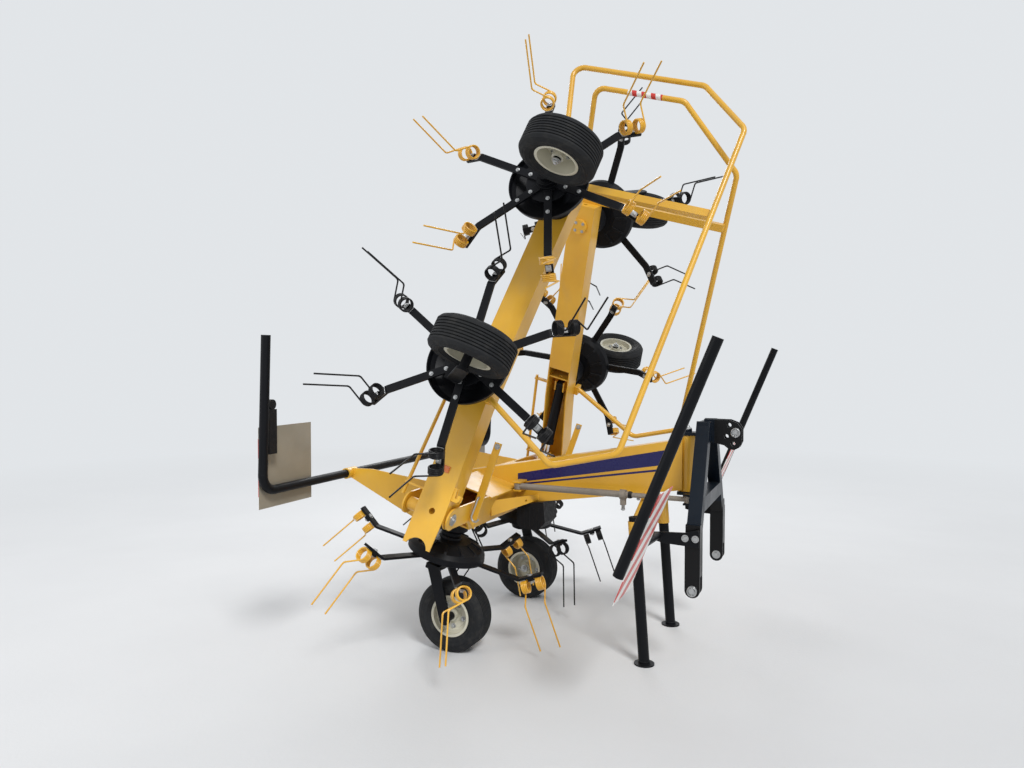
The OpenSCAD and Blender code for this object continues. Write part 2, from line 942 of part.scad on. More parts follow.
module dish_section()
    polygon([
        [hub_tube_r + fit, hub_top], [hub_r, hub_top], [hub_r + 4, -224], [120, -230], [198, -262],
        [dish_r - 6, -284], [dish_r, arm_top - 1], [dish_r - dish_t, arm_top - 1], [dish_r - 6 - dish_t, -286],
        [198 - dish_t / 2, -262 - dish_t], [120, -230 - dish_t], [hub_r + 8, -228 - dish_t],
        [hub_r, -240], [hub_r, arm_top + 9], [125, arm_top + 9], [125, arm_top - 1], [hub_r, arm_top - 1],
        [hub_r, hub_low], [hub_tube_r + fit, hub_low]
    ]);

// Side view of an arm: flat bar, bend and raised end, as one outline with an arc on each face
module arm_outline() {
    steps = 5;
    bend_back = arm_bend * tan(arm_rise / 2);
    c = [arm_bend_r - bend_back, -arm_drop + arm_bend];
    tip = [arm_bend_r, -arm_drop] + arm_end * [cos(arm_rise), sin(arm_rise)];
    across = arm_t / 2 * [-sin(arm_rise), cos(arm_rise)];
    polygon(concat(
        [[hub_r - 3, arm_top]],
        [for (i = [0:steps]) c + (arm_bend - arm_t / 2) * [sin(arm_rise * i / steps), -cos(arm_rise * i / steps)]],
        [tip + across, tip - across],
        [for (i = [steps:-1:0]) c + (arm_bend + arm_t / 2) * [sin(arm_rise * i / steps), -cos(arm_rise * i / steps)]],
        [[hub_r - 3, arm_top - arm_t]]
    ));
}

// Pressed rib on the slope of the dish
module dish_rib()
    plate_y(-7, 14)
        polygon([[116, -233], [126, -224], [188, -249], [199, -265]]);

// Folded clamp under the arm's end that holds the bridge between the two coils
module tine_clamp()
    plate_x(arm_end / 2 - 18, 36)
        polygon([
            [-16, 0], [-16, -arm_t / 2 - wire_d - 6], [16, -arm_t / 2 - wire_d - 6], [16, 0],
            [11, 0], [11, -arm_t / 2 - wire_d - 1], [-11, -arm_t / 2 - wire_d - 1], [-11, 0]
        ]);

module rotor(n)
    color(black) {
        at_hub(n)
            rotate_extrude()
                dish_section();
        for (i = [0:5])
            on_arm(n, i) {
                plate_y(-arm_w / 2, arm_w)
                    arm_outline();
                on_arm_end()
                    tine_clamp();
                for (a = [15, 45])
                    rotate([0, 0, a])
                        dish_rib();
            }
    }

// Double spring tine: two coils on the arm's end, each with a bent leg
wire_r = wire_d / 2;
coil_pitch = wire_d * 0.98;
coil_len = coil_pitch * (coil_turns - 1) + wire_d;
coil_z = -arm_t / 2 - seat - coil_r;
coil_in = 8;
coil_mid_r = coil_r - wire_r;
leg_back = 4;
leg_r = wire_r - 0.3;

module coil(x)
    translate([x + wire_r, 0, coil_z])
        rotate([0, 90, 0])
            rotate_extrude()
                for (i = [0:coil_turns - 1])
                    translate([coil_mid_r, i * coil_pitch])
                        circle(r = wire_r, $fn = 24);

module tine_leg(x) {
    start = [x, -coil_mid_r * cos(leg_sweep), coil_z - coil_mid_r * sin(leg_sweep)];
    knee = start + leg_1 * [0, sin(leg_sweep), -cos(leg_sweep)];
    tip = knee + leg_2 * [0, -sin(leg_back), -cos(leg_back)];
    bent_tube([start, knee, tip], 22, leg_r);
}

module tine() {
    far_coil = arm_end - coil_in - coil_len;
    coil(coil_in);
    coil(far_coil);
    rod([coil_in + coil_len - wire_r, 0, coil_z + coil_mid_r],
        [far_coil + wire_r, 0, coil_z + coil_mid_r], leg_r);
    tine_leg(coil_in + wire_r);
    tine_leg(far_coil + coil_len - wire_r);
}

module tines(n)
    color(n == 1 || n == 5 || n == 4 ? yellow : black)
        for (i = [0:5])
            on_arm(n, i)
                on_arm_end()
                    mirror([0, ROTORS[n - 1][3] > 0 ? 0 : 1, 0])
                        tine();

// Ground wheels
module at_wheel(n)
    at_hub(n)
        translate([wheel_lead, 0, -wheel_drop])
            rotate([-90, 0, 0])
                children();

bead_half = 62;
groove_w = 6;
groove_deep = 6;
groove_step = 15;

module tyre(n)
    color([0.08, 0.08, 0.08])
        at_wheel(n)
            rotate_extrude()
                difference() {
                    polygon([
                        [rim_r, -bead_half], [rim_r + 16, -bead_half], [rim_r + 34, -tyre_w / 2 + 6],
                        [rim_r + 52, -tyre_w / 2], [tyre_r - 26, -tyre_w / 2 + 3], [tyre_r - 9, -tyre_w / 2 + 12],
                        [tyre_r, -tyre_w / 2 + 26], [tyre_r, tyre_w / 2 - 26], [tyre_r - 9, tyre_w / 2 - 12],
                        [tyre_r - 26, tyre_w / 2 - 3], [rim_r + 52, tyre_w / 2], [rim_r + 34, tyre_w / 2 - 6],
                        [rim_r + 16, bead_half], [rim_r, bead_half]
                    ]);
                    for (i = [-3:3])
                        translate([tyre_r - groove_deep, i * groove_step - groove_w / 2])
                            square([groove_deep + 1, groove_w]);
                    translate([rim_r - 1, -bead_half + 18])
                        square([tyre_r - rim_r - 24, 2 * bead_half - 36]);
                }

rim_t = 4;

module rim(n)
    color(cream)
        at_wheel(n)
            rotate_extrude()
                polygon([
                    [axle_r + fit, -rim_half], [32, -rim_half], [32, 2], [46, 2], [58, 14], [80, 14],
                    [88, 22], [rim_r - rim_t - seat, 22],
                    [rim_r - rim_t - seat, -bead_half - 2], [rim_r + 10, -bead_half - 2],
                    [rim_r + 10, -bead_half - seat], [rim_r - seat, -bead_half - seat],
                    [rim_r - seat, bead_half + seat], [rim_r + 10, bead_half + seat],
                    [rim_r + 10, bead_half + 2 + seat], [rim_r - rim_t - seat, bead_half + 2 + seat],
                    [rim_r - rim_t - seat, 28], [85, 28], [77, 20], [55, 20], [43, 9], [32, 9],
                    [32, rim_half], [axle_r + fit, rim_half]
                ]);

main_frame();
beam_stripes();
rear_arms();
light_bar();
rear_boards();
rear_lamps();
centre_carriers();
drive_cover();
lock_levers();
headstock();
link_pins();
front_bars();
front_boards();
for (s = [1, 2]) {
    stand(s);
    strut_tube(s);
    strut_rod(s);
    wing_beam(s);
    wing_guard(s);
    wing_carriers(s);
    ram_barrel(s);
    ram_rod(s);
}
for (n = [1:6]) {
    rotor(n);
    tines(n);
    tyre(n);
    rim(n);
}
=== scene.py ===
"""Hay tedder on its parking stands, with both wings folded up."""
import math

import bmesh
import bpy
from mathutils import Matrix, Vector


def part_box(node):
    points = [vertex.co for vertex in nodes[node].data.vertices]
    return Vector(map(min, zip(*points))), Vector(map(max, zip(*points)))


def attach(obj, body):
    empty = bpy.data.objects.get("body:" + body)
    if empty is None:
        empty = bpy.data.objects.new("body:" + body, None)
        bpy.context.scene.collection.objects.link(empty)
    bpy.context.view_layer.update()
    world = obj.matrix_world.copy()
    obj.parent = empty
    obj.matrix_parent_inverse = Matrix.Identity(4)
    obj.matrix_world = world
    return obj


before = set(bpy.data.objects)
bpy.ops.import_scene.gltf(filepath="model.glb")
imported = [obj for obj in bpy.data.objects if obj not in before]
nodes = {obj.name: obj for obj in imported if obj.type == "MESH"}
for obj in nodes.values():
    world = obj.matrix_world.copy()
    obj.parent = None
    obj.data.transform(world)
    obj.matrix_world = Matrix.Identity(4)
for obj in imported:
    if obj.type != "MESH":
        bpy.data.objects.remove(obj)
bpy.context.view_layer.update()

scene = bpy.context.scene

# Camera
# A phone's wide view from the machine's right hand side, a little ahead of it,
# at the eye height of someone standing five metres away.
camera_data = bpy.data.cameras.new("camera")
camera_data.sensor_width = 36
camera_data.lens = 27.035
camera = bpy.data.objects.new("camera", camera_data)
camera.location = (1.6458, -4.4344, 1.6391)
camera.rotation_euler = (math.radians(88.42), 0, math.radians(23.32))
scene.collection.objects.link(camera)
scene.camera = camera

# Light and floor
# One broad even light from the front right, two soft lamps that open the shaded
# sides, a pale room, and a plain floor that runs out to the room's own colour.
scene.view_settings.view_transform = "Standard"
ROOM_PALE = (0.76, 0.785, 0.81, 1)
LAMP_AIM = Vector((0, 0, 1.2))
LAMPS = {
    "fill": ((-4.2, -5.0, 3.4), 4.0, 70),
    "back": ((-2.4, 5.2, 5.0), 3.4, 120),
}
SUN_FROM = Vector((4.4, -4.6, 6.4))
sun_data = bpy.data.lights.new("key", "SUN")
sun_data.energy = 2.1
sun_data.angle = math.radians(16)
sun = bpy.data.objects.new("key", sun_data)
sun.rotation_euler = (-SUN_FROM).to_track_quat("-Z", "Y").to_euler()
scene.collection.objects.link(sun)
for lamp_name, (spot, size, watts) in LAMPS.items():
    lamp_data = bpy.data.lights.new(lamp_name, "AREA")
    lamp_data.shape = "DISK"
    lamp_data.size = size
    lamp_data.energy = watts
    lamp = bpy.data.objects.new(lamp_name, lamp_data)
    lamp.location = spot
    lamp.rotation_euler = (LAMP_AIM - Vector(spot)).to_track_quat("-Z", "Y").to_euler()
    scene.collection.objects.link(lamp)

room = bpy.data.worlds.new("room")
scene.world = room
room.use_nodes = True
tree = room.node_tree
tree.nodes.clear()
lit, seen = (tree.nodes.new("ShaderNodeBackground") for _ in range(2))
lit.inputs["Color"].default_value = (0.93, 0.96, 1.0, 1)
lit.inputs["Strength"].default_value = 0.52
seen.inputs["Color"].default_value = ROOM_PALE
seen.inputs["Strength"].default_value = 1.0
rays = tree.nodes.new("ShaderNodeLightPath")
any_two = tree.nodes.new("ShaderNodeMath")
any_two.operation = "MAXIMUM"
tree.links.new(rays.outputs["Is Camera Ray"], any_two.inputs[0])
tree.links.new(rays.outputs["Is Glossy Ray"], any_two.inputs[1])
any_three = tree.nodes.new("ShaderNodeMath")
any_three.operation = "MAXIMUM"
tree.links.new(any_two.outputs[0], any_three.inputs[0])
tree.links.new(rays.outputs["Is Transmission Ray"], any_three.inputs[1])
either = tree.nodes.new("ShaderNodeMixShader")
tree.links.new(any_three.outputs[0], either.inputs["Fac"])
tree.links.new(lit.outputs[0], either.inputs[1])
tree.links.new(seen.outputs[0], either.inputs[2])
world_out = tree.nodes.new("ShaderNodeOutputWorld")
tree.links.new(either.outputs[0], world_out.inputs["Surface"])


def fresh(name, sockets):
    """A new material, with these values set on its shader's own sockets."""
    material = bpy.data.materials.new(name)
    material.use_nodes = True
    shader = material.node_tree.nodes["Principled BSDF"]
    for socket, value in sockets.items():
        shader.inputs[socket].default_value = value
    return material, shader


def add(material, kind, inputs=None, **settings):
    """One shader node. An input is a value, or another node's output to link."""
    node = material.node_tree.nodes.new("ShaderNode" + kind)
    for setting, value in settings.items():
        setattr(node, setting, value)
    for key, value in (inputs or {}).items():
        if isinstance(value, bpy.types.NodeSocket):
            material.node_tree.links.new(value, node.inputs[key])
        else:
            node.inputs[key].default_value = value
    return node


def mixed(material, share, first, second):
    """Colour between two colours or outputs, by a share from 0 to 1."""
    node = add(material, "Mix", data_type="RGBA")
    for key, value in ((0, share), (6, first), (7, second)):
        if isinstance(value, bpy.types.NodeSocket):
            material.node_tree.links.new(value, node.inputs[key])
        else:
            node.inputs[key].default_value = value if key == 0 else (*value[:3], 1)
    return node.outputs[2]


def patches(material, scale, low, high, detail=4.0, stretch=(1, 1, 1)):
    """Cloudy share from 0 to 1: noise of this many waves a metre, cut at low and high."""
    where = add(material, "TexCoord")
    place = add(material, "Mapping", {"Vector": where.outputs["Object"], "Scale": stretch})
    noise = add(material, "TexNoise", {"Vector": place.outputs[0], "Scale": scale, "Detail": detail})
    cut = add(material, "MapRange", {"Value": noise.outputs["Fac"], "From Min": low, "From Max": high})
    return cut.outputs[0]


def product(material, a, b):
    """Two shares multiplied."""
    return add(material, "Math", {0: a, 1: b}, operation="MULTIPLY").outputs[0]


def finish_surface(material, shader, colour, roughness, height, depth, round_edges=0.0):
    """Links colour, roughness and a bump of this depth in metres to the shader."""
    links = material.node_tree.links
    links.new(colour, shader.inputs["Base Color"])
    links.new(roughness, shader.inputs["Roughness"])
    bump = add(material, "Bump", {"Height": height, "Distance": depth, "Strength": 1.0})
    if round_edges:
        edge = add(material, "Bevel", {"Radius": round_edges}, samples=4)
        links.new(edge.outputs[0], bump.inputs["Normal"])
    links.new(bump.outputs[0], shader.inputs["Normal"])


def ranged(material, share, low, high):
    """A share from 0 to 1 as a value from low to high."""
    return add(material, "MapRange", {"Value": share, "To Min": low, "To Max": high}).outputs[0]


FLOOR_RADIUS = 40
floor_mesh = bmesh.new()
bmesh.ops.create_circle(floor_mesh, cap_ends=True, segments=96, radius=FLOOR_RADIUS)
floor_data = bpy.data.meshes.new("floor")
floor_mesh.to_mesh(floor_data)
floor_mesh.free()
floor = bpy.data.objects.new("floor", floor_data)
scene.collection.objects.link(floor)
FLOOR_TONES = ((0.66, 0.665, 0.67), (0.69, 0.695, 0.70))
FADE = {"From Min": 3.0, "From Max": 11.0}
floor_paint, floor_shader = fresh("floor", {"Roughness": 0.75})
finish_surface(floor_paint, floor_shader,
               mixed(floor_paint, patches(floor_paint, 0.8, 0.3, 0.7), *FLOOR_TONES),
               ranged(floor_paint, patches(floor_paint, 3, 0.3, 0.7), 0.6, 0.8),
               patches(floor_paint, 60, 0.2, 0.8), 0.0006)
fade_at = add(floor_paint, "TexCoord")
fade_run = add(floor_paint, "VectorMath", {0: fade_at.outputs["Object"]}, operation="LENGTH")
fade_share = add(floor_paint, "MapRange", {"Value": fade_run.outputs["Value"], **FADE})
fade_seen = add(floor_paint, "LightPath")
fade = product(floor_paint, fade_share.outputs[0], fade_seen.outputs["Is Camera Ray"])
far_floor = add(floor_paint, "Emission", {"Color": ROOM_PALE})
floor_mix = add(floor_paint, "MixShader", {0: fade, 1: floor_shader.outputs[0], 2: far_floor.outputs[0]})
floor_out = floor_paint.node_tree.nodes["Material Output"]
floor_paint.node_tree.links.new(floor_mix.outputs[0], floor_out.inputs["Surface"])
floor_data.materials.append(floor_paint)

# Main frame and other yellow steelwork
# Beam, cross frame, rear arms, lock levers, wing beams and guard loops are
# welded from folded plate and tube, powder coated in a warm yellow.
YELLOW = (0.77, 0.425, 0.030)
YELLOW_DEEP = (0.66, 0.345, 0.020)
DUST = (0.30, 0.26, 0.20)
SKYWARD = {"From Min": 0.15, "From Max": 0.95}
# These two set the reach and width of the pale painted highlight along every edge.
EDGE_HIGHLIGHT_RANGE = {"From Min": 0.995, "From Max": 0.875}
EDGE_HIGHLIGHT_WIDTH = 0.004
PEEL_DEPTH = 0.00012
EDGE_ROUND = 0.0025


def facing_up(material):
    """Share of a surface that faces the sky, where dust settles."""
    surface = add(material, "NewGeometry")
    parts = add(material, "SeparateXYZ", {0: surface.outputs["Normal"]})
    share = add(material, "MapRange", {"Value": parts.outputs["Z"], **SKYWARD})
    return share.outputs[0]


def edge_highlight_share(material):
    """Share that rises to 1 on the edges of a solid, where a pale highlight is painted."""
    soft = add(material, "Bevel", {"Radius": EDGE_HIGHLIGHT_WIDTH}, samples=4)
    surface = add(material, "NewGeometry")
    match = add(material, "VectorMath", {0: soft.outputs[0], 1: surface.outputs["True Normal"]},
                operation="DOT_PRODUCT")
    share = add(material, "MapRange", {"Value": match.outputs["Value"], **EDGE_HIGHLIGHT_RANGE})
    return share.outputs[0]


def painted(name, colour, deep, roughness, dust, coat=0.3, shine=0.5):
    """Powder coat: cloudy tone, a pale painted highlight along the edges, dust on what faces up, fine orange
    peel.
    """
    sheen = {"Coat Weight": coat, "Coat Roughness": 0.15, "Specular IOR Level": shine}
    material, shader = fresh(name, sheen)
    tone = mixed(material, patches(material, 2.6, 0.35, 0.68), colour, deep)
    # Painted highlight: every edge in this finish is painted a paler tone.
    pale = tuple(min(1.0, c * 1.15 + 0.03) for c in colour)
    tone = mixed(material, product(material, edge_highlight_share(material), 0.45), tone, pale)
    settled = product(material, facing_up(material), patches(material, 9, 0.42, 0.75))
    streaks = patches(material, 14, 0.56, 0.8, stretch=(1, 1, 0.15))
    tone = mixed(material, product(material, settled, dust), tone, DUST)
    tone = mixed(material, product(material, streaks, dust * 0.4), tone, DUST)
    rough = ranged(material, patches(material, 7, 0.3, 0.75), roughness - 0.06, roughness + 0.12)
    peel = patches(material, 330, 0.2, 0.8, detail=1)
    finish_surface(material, shader, tone, rough, peel, PEEL_DEPTH, EDGE_ROUND)
    return material


def dress(material, *names):
    """Gives CAD nodes their finish."""
    for name in names:
        nodes[name].data.materials.clear()
        nodes[name].data.materials.append(material)


yellow = painted("yellow_coat", YELLOW, YELLOW_DEEP, 0.36, 0.30)
dress(yellow, "main_frame", "rear_arms", "lock_levers",
      "wing_beam_1", "wing_beam_2", "wing_guard_1", "wing_guard_2")

# Stripes on the main beam
# Broad and narrow bands of deep blue film, stuck along both sides of the beam, with
# a faint ripple in their gloss.
STRIPE_TONES = ((0.013, 0.013, 0.085), (0.017, 0.016, 0.11))
STRIPE_SHEEN = {"Coat Weight": 0.15, "Coat Roughness": 0.1, "Specular IOR Level": 0.25}
stripe_film, stripe_shader = fresh("blue_film", STRIPE_SHEEN)
finish_surface(stripe_film, stripe_shader,
               mixed(stripe_film, patches(stripe_film, 5, 0.35, 0.7), *STRIPE_TONES),
               ranged(stripe_film, patches(stripe_film, 30, 0.3, 0.7), 0.22, 0.36),
               patches(stripe_film, 90, 0.45, 0.8), 0.00015)
dress(stripe_film, "beam_stripes")

# Fold pin caps and stand pins
# Turned caps bolted on the ends of the fold pins, bolts and J hooks on the levers,
# and the plated pins with pull rings that hold the stands in their sleeves.
DECK = Matrix.Translation((-0.35, 0, 0.86)) @ Matrix.Rotation(math.radians(16.3), 4, "Y")
FOLD_PIN_OUT = 0.9
FOLD_PIN_HALF = 0.1402
FOLD_CAP = ((0, -0.001), (0.032, -0.001), (0.032, 0.005), (0.021, 0.008), (0, 0.008))
LEVER_FACES = ((0.6902, 1), (0.6798, -1))
HOOK = (
    (0.168, 0.686, 0.10), (0.168, 0.70, 0.10), (0.168, 0.712, 0.09),
    (0.165, 0.714, 0.04), (0.160, 0.714, -0.005), (0.166, 0.714, -0.022),
    (0.180, 0.714, -0.031), (0.196, 0.714, -0.026), (0.206, 0.714, -0.010),
)
STAND = Matrix.Translation((0.667, 0.347, 0)) @ Matrix.Rotation(math.radians(-4.2), 4, "Y")
STAND_PIN = ((0, 0), (0.008, 0), (0.008, 0.029), (0.005, 0.032), (0, 0.032))
STAND_PIN_UP = 0.715
RING_WIRE = 0.003


def plated(name, colour, deep, roughness, metallic):
    """Zinc plate: mottled spangle with a soft sheen and darker handling marks."""
    material, shader = fresh(name, {"Metallic": metallic})
    where = add(material, "TexCoord")
    cells = add(material, "TexVoronoi", {"Vector": where.outputs["Object"], "Scale": 240.0})
    parts = add(material, "SeparateColor", {0: cells.outputs["Color"]})
    tone = mixed(material, product(material, parts.outputs[0], 0.5), colour, deep)
    tone = mixed(material, product(material, patches(material, 12, 0.5, 0.75), 0.5), tone, deep)
    rough = ranged(material, patches(material, 25, 0.3, 0.7), roughness - 0.08, roughness + 0.14)
    finish_surface(material, shader, tone, rough, patches(material, 200, 0.3, 0.7), 0.0001, 0.001)
    return material


def side(s):
    """Side 2 is drawn, and side 1 is its mirror image."""
    return Matrix.Diagonal((1, -1 if s == 1 else 1, 1, 1))


def aim(point, direction):
    """Place whose own Z runs along a direction from a point."""
    return Matrix.Translation(point) @ Vector(direction).to_track_quat("Z", "Y").to_matrix().to_4x4()


def lathe(mesh, place, outline, turns=28):
    """Turned solid: pairs of radius and height, revolved about Z at this place."""
    turned = [math.tau * k / turns for k in range(turns)]
    rings = []
    for radius, height in outline:
        ring = [Vector((radius * math.cos(a), radius * math.sin(a), height)) for a in turned]
        rings.append([mesh.verts.new(place @ point) for point in ring])
    for low, high in zip(rings, rings[1:]):
        for k in range(turns):
            mesh.faces.new((low[k - 1], low[k], high[k], high[k - 1]))


def bolt(mesh, place, radius, height):
    """Washer and hexagon head with a chamfered top, standing along Z."""
    rim = radius * 1.5
    crown = radius * 0.84
    lathe(mesh, place, [(0, -0.001), (rim, -0.001), (rim, 0.0022), (0, 0.0022)], 20)
    head = [(0, 0.002), (radius, 0.002), (radius, height * 0.85), (crown, height), (0, height)]
    lathe(mesh, place, head, 6)


def sweep(mesh, points, radius, sides=8):
    """Round bar along a row of points, closed at both ends."""
    points = [Vector(point) for point in points]
    turned = [math.tau * i / sides for i in range(sides)]
    across = (points[1] - points[0]).orthogonal().normalized()
    rings = []
    for k, point in enumerate(points):
        along = (points[min(k + 1, len(points) - 1)] - points[max(k - 1, 0)]).normalized()
        across = (across - along * across.dot(along)).normalized()
        other = along.cross(across)
        ring = [point + (across * math.cos(a) + other * math.sin(a)) * radius for a in turned]
        rings.append([mesh.verts.new(corner) for corner in ring])
    for low, high in zip(rings, rings[1:]):
        for i in range(sides):
            mesh.faces.new((low[i - 1], low[i], high[i], high[i - 1]))
    mesh.faces.new(rings[0])
    mesh.faces.new(rings[-1])


def pull_ring(mesh, place, radius):
    """Split ring that hangs from the origin of this place, in its XZ plane."""
    turned = [math.tau * k / 32 for k in range(33)]
    ring = [Vector((radius * math.sin(a), 0, -radius * (1 - math.cos(a)))) for a in turned]
    sweep(mesh, [place @ point for point in ring], RING_WIRE)


def piece(name, mesh, material, body):
    """Closes a mesh, smooths all but its sharp edges, and fixes it to a body."""
    bmesh.ops.remove_doubles(mesh, verts=mesh.verts, dist=1e-6)
    bmesh.ops.recalc_face_normals(mesh, faces=mesh.faces)
    for face in mesh.faces:
        face.smooth = True
    for edge in mesh.edges:
        edge.smooth = edge.calc_face_angle(math.pi) < math.radians(35)
    data = bpy.data.meshes.new(name)
    mesh.to_mesh(data)
    mesh.free()
    data.materials.append(material)
    made = bpy.data.objects.new(name, data)
    scene.collection.objects.link(made)
    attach(made, body)


zinc = plated("zinc_plate", (0.52, 0.53, 0.53), (0.34, 0.34, 0.34), 0.36, 1.0)
pins = bmesh.new()
for s in (1, 2):
    for end in (-1, 1):
        cap = DECK @ side(s) @ aim((end * FOLD_PIN_HALF, FOLD_PIN_OUT, 0), (end, 0, 0))
        lathe(pins, cap, FOLD_CAP)
        bolt(pins, cap @ Matrix.Translation((0, 0, 0.008)), 0.011, 0.009)
    for face, out in LEVER_FACES:
        bolt(pins, DECK @ side(s) @ aim((0.192, face, 0.4), (0, out, 0)), 0.011, 0.010)
    stand = side(s) @ STAND
    lathe(pins, stand @ aim((0, 0.034, STAND_PIN_UP), (0, 1, 0)), STAND_PIN)
    pull_ring(pins, stand @ Matrix.Translation((0, 0.06, STAND_PIN_UP)), 0.019)
    sweep(pins, [DECK @ side(s) @ Vector(point) for point in HOOK], 0.006, 12)
piece("fold_and_stand_pins", pins, zinc, "frame")

# Marks on the wings
# An amber reflector stuck low on the near wing, plated bolts along both wing beams,
# and a short red and white tape wound on the far guard's top bar.
FOLD_TURN = math.radians(112)
WING_HUBS = (0.75, 1.85)
FLIP = Matrix.Rotation(math.pi, 4, "X")
AMBER_TONES = ((0.82, 0.20, 0.010), (0.66, 0.13, 0.008))
BAND_RED = (0.55, 0.03, 0.02)
BAND_WHITE = (0.78, 0.77, 0.74)
TAPE_BANDS_A_METRE = 18.0
TAPE_ROUTE = ((0.13, 2.65, -0.097), (0.23, 2.65, -0.097), (0.34, 2.65, -0.097))


def slab(mesh, place, size, soft=0.0015):
    """Flat block with rounded edges, centred on this place."""
    block = bmesh.new()
    bmesh.ops.create_cube(block, size=1)
    bmesh.ops.transform(block, matrix=Matrix.Diagonal((*size, 1)), verts=block.verts)
    bmesh.ops.bevel(block, geom=block.edges[:], offset=soft, segments=3, profile=0.5, affect="EDGES")
    made = {vert: mesh.verts.new(place @ vert.co) for vert in block.verts}
    for face in block.faces:
        mesh.faces.new([made[vert] for vert in face.verts])
    block.free()


def wing(s):
    """Frame of a folded wing: Y along it from the fold pin, and its rotors on the minus Z side."""
    fold_pin = Matrix.Translation((0, FOLD_PIN_OUT, 0))
    return DECK @ side(s) @ fold_pin @ Matrix.Rotation(FOLD_TURN, 4, "X")


for s in (1, 2):
    tips = bmesh.new()
    for k in range(4):
        turn = Matrix.Rotation(math.radians(45 + 90 * k), 4, "Z")
        boss = wing(s) @ Matrix.Translation((0, WING_HUBS[1], 0.066)) @ turn
        bolt(tips, boss @ Matrix.Translation((0.033, 0, 0)) @ turn.inverted(), 0.0065, 0.008)
    for x in (-0.052, 0.052):
        for y in (0.784, 1.974):
            bolt(tips, wing(s) @ Matrix.Translation((x, y, -0.0722)) @ FLIP, 0.0075, 0.008)
    piece(f"wing_bolts_{s}", tips, zinc, f"wing_{s}")

amber, amber_shader = fresh("amber_lens", {"Coat Weight": 0.8, "Transmission Weight": 0.15})
finish_surface(amber, amber_shader,
               mixed(amber, patches(amber, 60, 0.3, 0.7), *AMBER_TONES),
               ranged(amber, patches(amber, 80, 0.3, 0.7), 0.15, 0.3), patches(amber, 700, 0.3, 0.7), 0.0004)
reflector = bmesh.new()
slab(reflector, wing(1) @ Matrix.Translation((0.021, 0.228, -0.0745)), (0.046, 0.036, 0.006))
piece("reflector", reflector, amber, "wing_1")

tape, tape_shader = fresh("banded_tape", {"Coat Weight": 0.2})
tape_at = add(tape, "TexCoord")
tape_run = add(tape, "SeparateXYZ", {0: tape_at.outputs["Object"]})
tape_wave = product(tape, tape_run.outputs["X"], TAPE_BANDS_A_METRE)
tape_part = add(tape, "Math", {0: tape_wave}, operation="FRACT")
tape_band = add(tape, "Math", {0: tape_part.outputs[0], 1: 0.5}, operation="GREATER_THAN")
finish_surface(tape, tape_shader, mixed(tape, tape_band.outputs[0], BAND_RED, BAND_WHITE),
               ranged(tape, patches(tape, 30, 0.3, 0.7), 0.35, 0.5), patches(tape, 200, 0.3, 0.7), 0.0001)
wound = bmesh.new()
sweep(wound, [wing(2) @ Vector(point) for point in TAPE_ROUTE], 0.0169, 20)
piece("guard_tape", wound, tape, "wing_2")

# Gear housings, wheel legs, rotors, bars and stands
# Cast and welded pieces bolted to the beams, in satin black with a trace of road
# dust on top.
black = painted("black_coat", (0.0050, 0.0055, 0.0072), (0.0035, 0.004, 0.0055), 0.42, 0.03,
                coat=0.0, shine=0.14)
dress(black, "centre_carriers", "wing_carriers_1", "wing_carriers_2", "light_bar", "front_bars",
      "stand_1", "stand_2", "ram_barrel_1", "ram_barrel_2", *[f"rotor_{n}" for n in range(1, 7)])

# Drive housing under the beam
# Moulded ribbed cover of matt black plastic with a fine leathery grain. The lamp
# housings are of the same plastic.
RIB_PLACES = (-0.165, -0.135, -0.105, -0.075, -0.045)
RIB_HEIGHTS = (0.632, 0.65, 0.70, 0.74, 0.755)
moulded, moulded_shader = fresh("moulded_plastic", {"Specular IOR Level": 0.2})
finish_surface(moulded, moulded_shader,
               mixed(moulded, product(moulded, facing_up(moulded), 0.12), (0.007, 0.007, 0.008), DUST),
               ranged(moulded, patches(moulded, 40, 0.3, 0.7), 0.5, 0.68),
               patches(moulded, 900, 0.3, 0.7), 0.0003)
dress(moulded, "drive_cover", "rear_lamps")
ribs = bmesh.new()
for s in (1, 2):
    for x in RIB_PLACES:
        sweep(ribs, [side(s) @ Vector((x, 0.105, z)) for z in RIB_HEIGHTS], 0.004)
piece("cover_ribs", ribs, moulded, "frame")

# Lamp lenses
# A red and amber moulded lens snapped on each lamp housing, above the top edge of
# the rear boards.
LENS_MIDDLE = 1.353
LENS_OUT = 1.295
LENS_SIZE = (0.010, 0.052, 0.080)
LENS_RED = (0.42, 0.012, 0.01)
LENS_AMBER = (0.75, 0.17, 0.012)
lens_clear, lens_shader = fresh("two_tone_lens", {"Coat Weight": 0.9, "Coat Roughness": 0.05})
lens_at = add(lens_clear, "TexCoord")
lens_run = add(lens_clear, "SeparateXYZ", {0: lens_at.outputs["Object"]})
lens_top = add(lens_clear, "Math", {0: lens_run.outputs["Z"], 1: LENS_MIDDLE}, operation="GREATER_THAN")
finish_surface(lens_clear, lens_shader,
               mixed(lens_clear, lens_top.outputs[0], LENS_RED, LENS_AMBER),
               ranged(lens_clear, patches(lens_clear, 40, 0.3, 0.7), 0.12, 0.22),
               patches(lens_clear, 160, 0.45, 0.55, stretch=(1, 1, 6)), 0.0005)
lenses = bmesh.new()
lamp_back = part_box("rear_lamps")[0][0]
for s in (1, 2):
    lens = side(s) @ Matrix.Translation((lamp_back - 0.0045, LENS_OUT, LENS_MIDDLE))
    slab(lenses, lens, LENS_SIZE, 0.004)
piece("lamp_lenses", lenses, lens_clear, "frame")

# Headstock
# Two inclined box posts in navy, welded on link shoes and under the top link
# plates, which are both satin black.
SHOE_TOP = 0.800
PLATES_FROM = 0.985
PLATES_LOW = 1.150
SHOE_BLACK = (0.0045, 0.0045, 0.005)
KINGPIN_TOP = (0.83, 0, 1.2585)
KINGPIN_CAP = (
    (0, 0), (0.024, 0), (0.024, 0.006), (0.019, 0.012), (0.012, 0.014), (0.009, 0.024), (0, 0.025),
)


